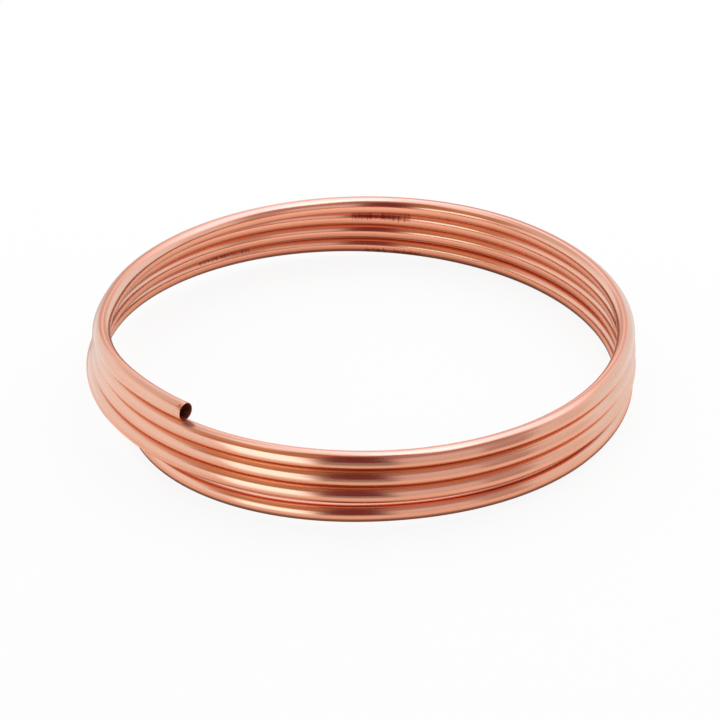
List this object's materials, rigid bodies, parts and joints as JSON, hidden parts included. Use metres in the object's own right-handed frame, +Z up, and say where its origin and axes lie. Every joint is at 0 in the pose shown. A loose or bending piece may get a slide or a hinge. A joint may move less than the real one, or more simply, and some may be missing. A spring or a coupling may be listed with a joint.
{
  "type": "coil of soft copper tube",
  "caption": "Loose coil of round soft copper tube, wound in stacked turns and lying flat, with both cut ends open.",
  "frame": {"origin": "centre of the coil's outline seen from above, at the level of the floor that the bottom turn lies on", "axes": "+Z up along the coil's axis; +X to the right and +Y away, as seen from the side where the upper end lies at the front left"},
  "size_m": [0.486, 0.5052, 0.0884],
  "materials": {
    "soft_copper": null
  },
  "bodies": {
    "root": {"copper_tube": "soft_copper"}
  },
  "joints": []
}
